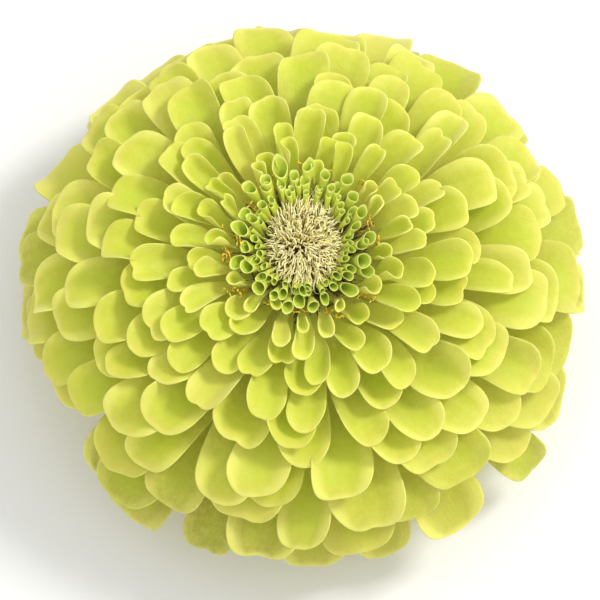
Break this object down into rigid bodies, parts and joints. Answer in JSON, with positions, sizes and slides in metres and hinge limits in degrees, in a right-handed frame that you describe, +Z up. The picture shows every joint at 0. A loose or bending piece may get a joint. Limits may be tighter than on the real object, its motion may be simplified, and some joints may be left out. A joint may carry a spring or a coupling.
{
  "type": "zinnia bloom",
  "caption": "Large, fully double, lime-green zinnia bloom, cut just under its head, a dome of overlapping cupped petals round a pale tufted disc.",
  "frame": {"origin": "middle of the stalk's cut end, on the surface that the bloom rests on", "axes": "+Z up along the bloom's axis, out of the disc; the bloom is viewed in the picture from -Y and above"},
  "size_m": [0.0999, 0.0997, 0.0419],
  "materials": {
    "ray_petals": "soft matt petal, lime-yellow with olive bases and pale rims",
    "young_petals": "soft satin, fresh green with pale rims",
    "disc_bristles": "dry matt straw and cream",
    "bract_cup": "matt leafy green with dark brown margins",
    "stalk": "satin green, finely hairy, pale pith at the cut"
  },
  "bodies": {
    "root": {"ray_petals": "ray_petals", "young_petals": "young_petals", "disc_bristles": "disc_bristles", "bract_cup": "bract_cup", "stalk": "stalk"}
  },
  "joints": []
}
